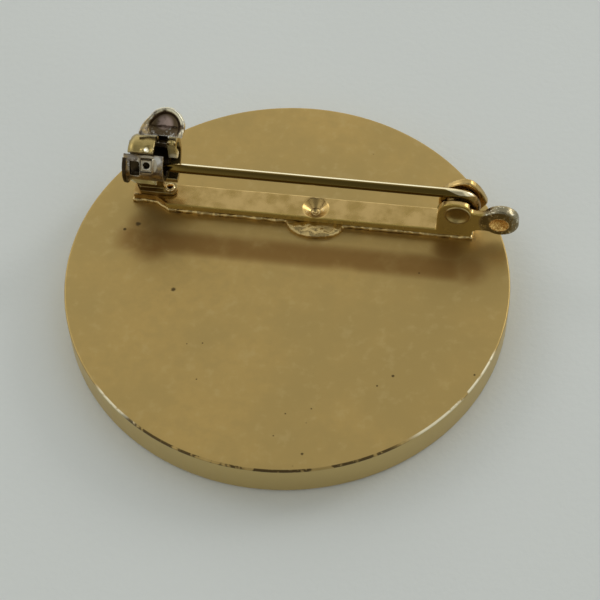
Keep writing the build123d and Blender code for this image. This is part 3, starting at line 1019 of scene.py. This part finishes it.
@dataclass
class Catch:
    """The safety catch: the rolled case on its riveted foot, and the roller with its thumb tab."""

    voxel: float = 0.042 * MM
    roller_voxel: float = 0.04 * MM
    case_inner: float = 1.5 * MM
    roller_outer: float = 1.45 * MM
    end_round: float = 0.5 * MM
    tuck_length: float = 0.9 * MM
    tuck_share: float = 0.36
    boss_in: float = 1.73 * MM
    boss_angle: float = 144.0
    boss_rise: float = 0.12 * MM
    frame_half: tuple[float, float] = (0.44 * MM, 0.42 * MM)
    frame_soft: float = 0.22
    frame_rise: float = 0.15 * MM
    thumb_angle: float = 42.0
    thumb_x: float = -9.66 * MM
    thumb_middle: float = 2.4 * MM
    thumb_radius: float = 1.4 * MM
    dome: float = 2.8 * MM
    rim_radius: float = 1.22 * MM
    rim_width: float = 0.28 * MM
    rim_lift: float = 0.26 * MM
    rim_back: float = 0.05 * MM
    fold_radius: float = 2.05 * MM
    fold_reach: float = 0.55 * MM
    fold_angle: float = 16.0
    outward_pull: float = 0.08
    skirt: float = 0.52 * MM

    def build(self) -> None:
        """Makes the case, its rivet and the roller."""
        self.axis = pivot_of("roller_turn")
        self.case()
        self.roller()
        self.eyelet()

    def on_case(self, x: float, angle: float, radius: float) -> Vector:
        """A place at an angle round the catch's axis, in degrees from +Y up towards +Z."""
        turn = radians(angle)
        return Vector((x, self.axis.y + radius * cos(turn), self.axis.z + radius * sin(turn)))

    def case(self) -> None:
        """The case: a rounded left end, a crumpled right lip and a stake mark in each shell."""
        low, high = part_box("catch_case")
        outer = high.z - self.axis.z
        case = Workpiece.from_node("catch_shell", "catch_case")
        case.remesh(self.voxel, 9)
        case.shape(lambda at: self.rounded_end(at, low.x))
        lip = self.on_case(high.x, 95, outer)
        case.soften(lambda at: self.at_lip(at, lip), 28)
        case.waver(1.2 * MM, 0.07 * MM)
        inwards = self.on_case(0, 125, -0.16 * MM) - Vector((0, self.axis.y, self.axis.z))
        curl = Vector((high.x - 0.3 * MM, self.axis.y + 0.56 * MM, self.axis.z + 0.3 * MM))
        dents = (
            (self.on_case(low.x + 1.55 * MM, 104, outer), 0.32 * MM, inwards),
            (self.on_case(low.x + 1.15 * MM, 108, outer), 0.2 * MM, inwards * -0.5),
            (self.on_case(high.x - 0.3 * MM, 85, outer), 0.24 * MM, inwards * 0.9),
            (curl, 0.5 * MM, Vector((0.06, 0, 0.15)) * MM),
            (curl + Vector((0.16, 0, 0.1)) * MM, 0.2 * MM, Vector((0, 0.05, -0.08)) * MM),
        )
        for middle, reach, push in dents:
            case.press(middle, reach, push)
        # The curl and the stake mark get painted highlights, partly wear.
        stake = self.on_case(low.x + 1.4 * MM, 106, outer)
        finish = CaseGilding(
            "case_gilt", gold=(0.44, 0.33, 0.13), tarnish_and_shade=(0.33, 0.245, 0.085), blotch=0.9 * MM,
            roughness=0.25, edge=0.7, hollow_grime_and_shade=0.6, axis=self.axis, rubs_and_highlights=((curl, 0.5 * MM), (stake, 0.24 * MM)),
        )
        case.fit(Body.BADGE, "fitting_metal", finish.material(), "catch_case")

    @staticmethod
    def at_lip(at: Vector, lip: Vector) -> bool:
        """Whether a place lies in the crumpled corner behind the right shell's lip."""
        return at.x > lip.x - 0.75 * MM and at.z > lip.z - 1.3 * MM and at.y < lip.y + 1.2 * MM

    def rounded_end(self, at: Vector, end: float) -> Vector:
        """Draws the outside of the tube in towards its left end."""
        arm = Vector((0.0, at.y - self.axis.y, at.z - self.axis.z))
        outside = max(0.0, arm.length - self.case_inner - 0.05 * MM)
        near = max(0.0, 1 - (at.x - end) / self.end_round)
        return at - arm.normalized() * outside * 0.7 * near * near

    def roller(self) -> None:
        """The roller: a proud square ring round its bore, and a thumb tab with a thick rolled rim."""
        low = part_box("catch_roller")[0]
        roller = Workpiece.from_node("roller_sleeve", "catch_roller")
        roller.remesh(self.roller_voxel, 3)
        ring = self.on_case(low.x + self.boss_in, self.boss_angle, self.roller_outer + self.boss_rise)
        tab = self.on_case(self.thumb_x, self.thumb_angle, self.thumb_middle)
        roller.shape(lambda at: self.framed(self.hooded(self.tucked(at, low.x)), ring))
        roller.waver(0.5 * MM, 0.03 * MM)
        # The bands of painted shade: inside the sleeve, and round the tab's neck.
        neck = (self.roller_outer + 0.2 * MM, self.thumb_middle - 0.4 * MM)
        finish = WornNickel("worn_nickel", self.axis, ((0.0, self.roller_outer - 0.06 * MM), neck), tab, ring)
        roller.fit(Body.ROLLER, "roller_metal", finish.material(), "catch_roller")

    def tucked(self, at: Vector, end: float) -> Vector:
        """Draws the sleeve's end in where the case's crown covers it."""
        beyond = min((at.y - self.axis.y) / MM, (at.z - self.axis.z) / MM - 0.5) / 0.3
        covered = min(1.0, max(0.0, beyond))
        start = end + self.tuck_length
        if at.x > start:
            return at
        return Vector((start + (at.x - start) * (1 - self.tuck_share * covered), at.y, at.z))

    def framed(self, at: Vector, ring: Vector) -> Vector:
        """Raises a thick square frame round the bore of the roller's boss."""
        arm = Vector((0.0, at.y - self.axis.y, at.z - self.axis.z))
        reach = Vector((0.0, ring.y - self.axis.y, ring.z - self.axis.z))
        if arm.length < self.roller_outer - 0.02 * MM or arm.length > self.roller_outer + 0.3 * MM:
            return at
        wide, high = self.frame_half
        away = max(abs(at.x - ring.x) / wide, reach.angle(arm) * self.roller_outer / high)
        rise = max(0.0, 1 - ((away - 1) / self.frame_soft) ** 2)
        return at + arm.normalized() * self.frame_rise * rise

    def hooded(self, at: Vector) -> Vector:
        """Rolls the thumb tab's rim up, spreads its left side and folds its foot over the case."""
        turn = radians(self.thumb_angle)
        along, up = Vector((0, cos(turn), sin(turn))), Vector((0, -sin(turn), cos(turn)))
        arm = Vector((0.0, at.y - self.axis.y, at.z - self.axis.z))
        across, out = at.x - self.thumb_x, arm.dot(along)
        if out < self.case_inner or abs(arm.dot(up)) > 1.2 * MM:
            return at
        ball = out - self.thumb_middle - 0.25 * MM
        mid = self.dome - max(0.0, self.dome ** 2 - across ** 2 - ball ** 2) ** 0.5
        away = Vector((across, out - self.thumb_middle)).length
        ridge = max(0.0, 1 - ((away - self.rim_radius) / self.rim_width) ** 2)
        ridge *= min(1.0, max(0.0, out / MM - 1.95) / 0.3)
        lift = self.rim_lift if arm.dot(up) > mid else -self.rim_back
        fold = max(0.0, 1 - abs(arm.length - self.fold_radius) / self.fold_reach)
        arm = Quaternion((1, 0, 0), radians(self.fold_angle) * fold) @ (arm + up * lift * ridge)
        arm += along * self.outward_pull * max(0.0, out - 2 * MM)
        low = max(0.0, 1 - (out - self.case_inner - 0.5 * MM) / (1.1 * MM))
        low *= min(1.0, max(0.0, out / MM - 1.9) / 0.1)
        side = self.skirt * low * max(0.0, -across / self.thumb_radius)
        return Vector((at.x - side, self.axis.y + arm.y, self.axis.z + arm.z))

    def eyelet(self) -> None:
        """The eyelet that clinches the foot to the strip."""
        low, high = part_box("case_rivet")
        centre = (low + high) / 2
        half = (high.z - low.z) / 2
        lip = (high.x - low.x) / 2
        roll = 0.1 * MM
        bore = 0.16 * MM
        wall = bore + 0.08 * MM
        section = [
            *arc((lip - roll, half - roll), roll, -60, 120, 6),
            (bore, half - 1.7 * roll),
            (bore, -half),
            (wall, -half),
            (wall, half - 2.2 * roll),
        ]
        piece = lathe("foot_eyelet", section, centre, Vector((0, 0, 1)), 32)
        finish = Gilding("eyelet_gilt", roughness=0.18)
        piece.fit(Body.BADGE, "fitting_metal", finish.material(), "case_rivet")


# ---------------------------------------------------------------------------------------------
# The studio
# ---------------------------------------------------------------------------------------------


@dataclass(frozen=True)
class Softbox:
    """A large rectangular lamp that faces the badge."""

    name: str
    place: Triple
    width: float
    height: float
    power: float

    def build(self) -> None:
        """Hangs the lamp."""
        lamp = bpy.data.lights.new(self.name, "AREA")
        lamp.shape = "RECTANGLE"
        lamp.size, lamp.size_y, lamp.energy = self.width, self.height, self.power
        thing = bpy.data.objects.new(self.name, lamp)
        thing.location = self.place
        thing.rotation_mode = "QUATERNION"
        thing.rotation_quaternion = (-Vector(self.place)).to_track_quat("-Z", "Y")
        bpy.context.scene.collection.objects.link(thing)


@dataclass
class Studio:
    """The pale table, the soft light and the camera."""

    azimuth: float = 9.384
    elevation: float = 55.177
    roll: float = -2.091
    distance: float = 128 * MM
    aim: Vector = Vector((0.902, -0.028, 0.0)) * MM
    lens: float = 105.07
    sensor: float = 36.0
    table: float = 2.0
    table_gap: float = 0.02 * MM
    softboxes: tuple[Softbox, ...] = (
        Softbox("window", (0.42, 0.34, 0.26), 0.16, 0.2, 0.5),
        Softbox("left_window", (-0.45, 0.22, 0.35), 0.2, 0.2, 0.25),
    )
    sky_light: float = 0.68
    band_light: float = 0.5
    dimming: float = 0.62

    def build(self) -> None:
        """Makes the table, the sky, the lamps and the camera."""
        floor = Workpiece.from_primitive("table", bpy.ops.mesh.primitive_plane_add, size=self.table)
        floor.shape(lambda at: at - Vector((0, 0, self.table_gap)))
        floor.thing.data.materials.append(Card("pale_card").material())
        self.sky()
        for softbox in self.softboxes:
            softbox.build()
        self.camera()

    def sky(self) -> None:
        """A pale room, brightest low behind the badge and dim over its near side."""
        world = bpy.data.worlds.new("room")
        bpy.context.scene.world = world
        graph = Graph(world)
        way = graph.node("TexCoord", {}, {}, "Generated")
        along = {"operation": "DOT_PRODUCT"}
        rise = graph.node("SeparateXYZ", {}, {0: way}, "Z")
        behind = graph.node("SeparateXYZ", {}, {0: way}, "Y")
        band = behind.spread(0.2, 0.8) * rise.spread(0.75, 0.3)
        across = graph.node("VectorMath", along, {0: way, 1: self.sideways()}, "Value")
        dimmed = (across * across).spread(0.16, 0.03) * behind.spread(0.42, 0.22)
        light = (band * self.band_light + self.sky_light) * (1 - dimmed * self.dimming)
        lamp = graph.node("Background", {}, {"Color": (0.97, 1.0, 0.97, 1.0), "Strength": light})
        graph.node("OutputWorld", {}, {"Surface": lamp})

    def backwards(self) -> Vector:
        """The direction from the badge to the camera."""
        turn, tilt = radians(self.azimuth), radians(self.elevation)
        return Vector((sin(turn) * cos(tilt), -cos(turn) * cos(tilt), sin(tilt)))

    def sideways(self) -> Vector:
        """The direction across the camera's line, level with the table."""
        return Vector((cos(radians(self.azimuth)), sin(radians(self.azimuth)), 0.0))

    def camera(self) -> None:
        """The camera, above the near edge and turned a little."""
        lens = bpy.data.cameras.new("camera")
        lens.lens, lens.sensor_width = self.lens, self.sensor
        lens.clip_start, lens.clip_end = 0.01, 10.0
        thing = bpy.data.objects.new("camera", lens)
        back = self.backwards()
        thing.location = self.aim + back * self.distance
        thing.rotation_mode = "QUATERNION"
        level = (-back).to_track_quat("-Z", "Y")
        thing.rotation_quaternion = level @ Quaternion((0, 0, 1), radians(self.roll))
        bpy.context.scene.collection.objects.link(thing)
        bpy.context.scene.camera = thing
        bpy.context.scene.view_settings.view_transform = "Standard"


def main() -> None:
    """Builds the badge, its fitting and the studio."""
    logging.basicConfig(level=logging.INFO, format="%(name)s %(message)s")
    for part in (Badge(), BroochBar(), PinStem(), Catch(), Studio()):
        LOG.info("building %s", type(part).__name__)
        part.build()


if __name__ == "__main__":
    main()
